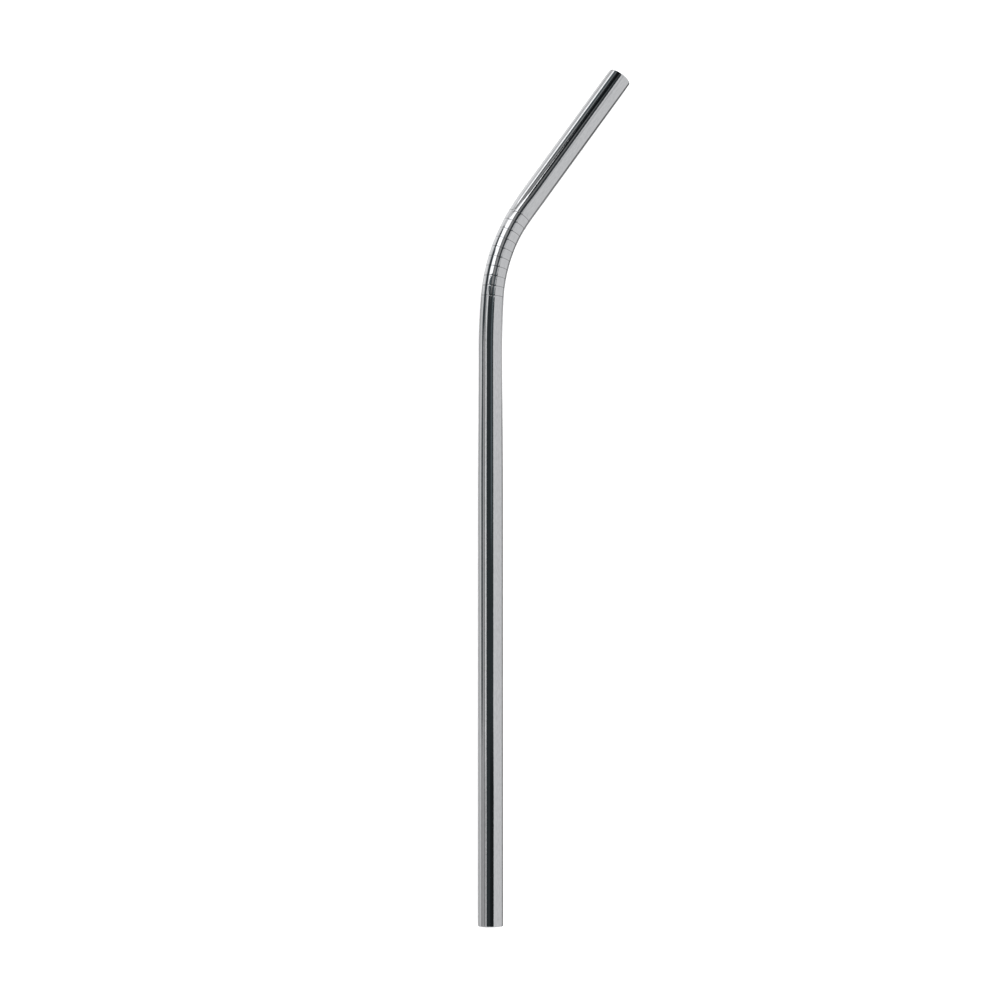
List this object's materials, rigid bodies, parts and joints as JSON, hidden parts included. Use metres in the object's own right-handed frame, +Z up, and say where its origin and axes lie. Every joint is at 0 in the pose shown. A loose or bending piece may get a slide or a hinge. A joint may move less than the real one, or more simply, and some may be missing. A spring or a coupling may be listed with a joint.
{
  "type": "stainless steel drinking straw",
  "caption": "Bent reusable drinking straw: a straight steel tube with a creased bend near one end and a short angled sipping arm.",
  "frame": {"origin": "on the table surface, under the middle of the straw's plan as it lies on its side", "axes": "+Y along the stem towards the bend, +X the side that the arm bends to, +Z up from the table"},
  "size_m": [0.038, 0.208, 0.006],
  "materials": {
    "polished_steel": "polished, with faint lengthwise draw lines"
  },
  "bodies": {
    "root": {"straw": "polished_steel"}
  },
  "joints": []
}
